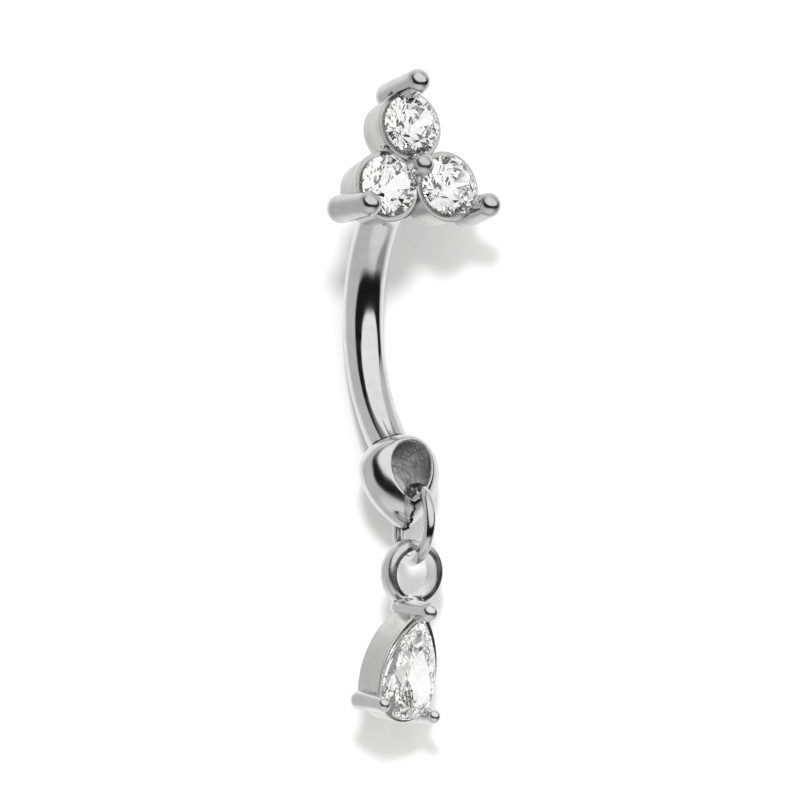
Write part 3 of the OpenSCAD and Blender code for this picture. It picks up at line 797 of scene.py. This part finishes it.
# Each area: measured upright or leaning, its middle and half width to the side in degrees, the
# same in height, softness and brightness. Later ones lie over earlier ones: a pale foreground, a
# shadow low on the right, white behind, the black frame, its top paler in two steps, the frame's
# gap high on the right, and the lamp panel
areas = ((azimuth, 10, 70, -62, 26, 0.7, 0.8),
         (azimuth, 80, 28, -26, 18, 0.9, 0.35),
         (azimuth, 180, 62, 0, 60, 0.6, 1.0),
         (leaning, 33, 84, 32, 62, 0.16, 0.012),
         (leaning, 33, 84, 80, 52, 0.5, 0.25),
         (leaning, 33, 84, 100, 52, 0.5, 0.55),
         (leaning, 114, 18, 62, 45, 0.4, 0.6),
         (leaning, 40, 58, 45, 50, 0.14, 1.0))
for side_of, a0, a_half, h0, h_half, soft, bright in areas:
    away = []
    for value, middle, half, wrap in ((side_of, a0, a_half, [("WRAP", 180.0, -180.0)]),
                                      (height, h0, h_half, [])):
        for step, *others in (("SUBTRACT", middle), *wrap, ("ABSOLUTE",), ("DIVIDE", half),
                              ("POWER", 3.0)):
            value = add(tree, "ShaderNodeMath", {"operation": step},
                        {0: value, **dict(enumerate(others, 1))}).outputs[0]
        away.append(value)
    far = add(tree, "ShaderNodeMath", {"operation": "ADD"}, {0: away[0], 1: away[1]})
    mask = add(tree, "ShaderNodeMapRange", {"interpolation_type": "SMOOTHSTEP"},
               {"Value": far.outputs[0], "From Min": 1.0 - soft, "From Max": 1.0 + soft,
                "To Min": 1.0, "To Max": 0.0})
    light = add(tree, "ShaderNodeMix", {"data_type": "FLOAT"},
                {0: mask.outputs[0], 2: light, 3: bright}).outputs[0]
path = add(tree, "ShaderNodeLightPath")
# A cut stone shows light and dark harder than metal does, so its rays see more contrast
contrast = add(tree, "ShaderNodeMath", {"operation": "MULTIPLY_ADD"},
               {0: path.outputs["Is Transmission Ray"], 1: 0.6, 2: 1.0})
light = add(tree, "ShaderNodeMath", {"operation": "POWER"}, {0: light, 1: contrast.outputs[0]})
# Matt things take nearly twice the light that the steel mirrors, so that the card comes out white
gain = add(tree, "ShaderNodeMath", {"operation": "MULTIPLY_ADD"},
           {0: path.outputs["Is Diffuse Ray"], 1: 0.95, 2: 1.0})
light = add(tree, "ShaderNodeMath", {"operation": "MULTIPLY"},
            {0: light.outputs[0], 1: gain.outputs[0]})
light = add(tree, "ShaderNodeMix", {"data_type": "FLOAT"},
            {0: path.outputs["Is Camera Ray"], 2: light.outputs[0], 3: 1.0}).outputs[0]
glow = add(tree, "ShaderNodeBackground", links={"Color": srgb("#FFFFFF"), "Strength": light})
add(tree, "ShaderNodeOutputWorld", links={"Surface": glow.outputs[0]})

# The camera is level, 33 degrees to the left of the front, 600 mm away through a long lens. Its
# picture is 24.02 mm wide where the piece hangs.
AWAY = 600.0
PICTURE_WIDTH = 24.02
SENSOR_WIDTH = 36
right = np.array([0.8387, -0.5446, 0.0])
back = np.array([-0.5446, -0.8387, 0.0])
picture_middle = right * 1.081 + np.array([0, 0, -2.402])
lens = bpy.data.cameras.new("camera")
lens.lens = SENSOR_WIDTH * AWAY / PICTURE_WIDTH
lens.clip_start = 0.01
camera = bpy.data.objects.new("camera", lens)
camera.location = tuple((picture_middle + back * AWAY) * MM)
camera.rotation_euler = (math.radians(90), 0, -TURN_LEFT)
bpy.context.scene.collection.objects.link(camera)
bpy.context.scene.camera = camera
bpy.context.scene.view_settings.view_transform = "Standard"
# Light turns back inside a stone many times before it leaves
bpy.context.scene.cycles.max_bounces = 24
bpy.context.scene.cycles.glossy_bounces = 20
bpy.context.scene.cycles.transmission_bounces = 20

# A white card hangs close behind the piece and catches its soft shadow. Its back lets light and
# sight through, so the piece shows from behind too.
CARD_HALF = 16.0
CARD_BEHIND = 0.45
CARD_LEAN = 0.16
board, tree = blank("white_board")
matt = add(tree, "ShaderNodeBsdfDiffuse", links={"Color": srgb("#D6D6D6")})
clear = add(tree, "ShaderNodeBsdfTransparent")
behind = add(tree, "ShaderNodeNewGeometry").outputs["Backfacing"]
one_way = add(tree, "ShaderNodeMixShader", links={0: behind, 1: matt.outputs[0],
                                                  2: clear.outputs[0]})
add(tree, "ShaderNodeOutputMaterial", links={"Surface": one_way.outputs[0]})
sheet("card", picture_middle - back * CARD_BEHIND, right, np.array([0, 0, 1.0]) - back * CARD_LEAN,
      CARD_HALF, board)

# A lamp high in front lights the card and the stones, and throws the soft shadow. The steel
# doesn't mirror it, because the panel in front is the lamp that shows there.
lamp_data = bpy.data.lights.new("lamp", "SUN")
lamp_data.energy = 2.1
lamp_data.angle = math.radians(10)
lamp = bpy.data.objects.new("lamp", lamp_data)
lamp.rotation_euler = (math.radians(63), 0, math.radians(-34))
bpy.context.scene.collection.objects.link(lamp)
lamp.visible_glossy = False
